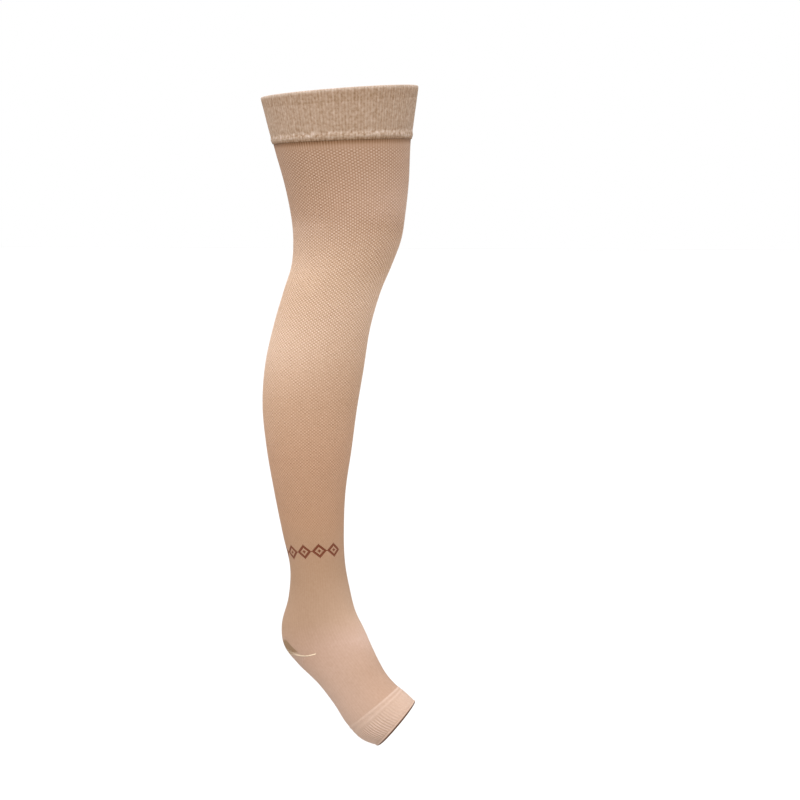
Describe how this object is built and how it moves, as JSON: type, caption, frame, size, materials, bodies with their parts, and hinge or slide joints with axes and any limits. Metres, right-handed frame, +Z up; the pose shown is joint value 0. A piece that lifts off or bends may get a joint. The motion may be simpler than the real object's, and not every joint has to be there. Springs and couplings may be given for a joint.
{
  "type": "compression stocking",
  "caption": "Thigh-high knitted compression stocking with a turned ribbed thigh band, a heel pocket and an open toe, in its hollow worn form.",
  "frame": {"origin": "the middle of the top opening, where the wearer's thigh holds the stocking up", "axes": "+Z up out of the top opening, +X from the back of the leg to the front and the toes, +Y to the outer side of a left leg"},
  "size_m": [0.196, 0.178, 0.7906],
  "materials": {
    "welt_knit": "beige doubled one and one rib, elastane covered with nylon, matt",
    "leg_knit": "beige bird's eye compression knit, matt with a soft sheen",
    "heel_knit": "brown beige plain knit heel pocket, matt",
    "foot_knit": "pinkish beige plain knit, matt",
    "toe_knit": "pinkish beige ribbed toe band, matt"
  },
  "bodies": {
    "root": {"thigh_band": "welt_knit", "leg_tube": "leg_knit", "heel_pocket": "heel_knit", "foot_tube": "foot_knit", "toe_band": "toe_knit"}
  },
  "joints": []
}
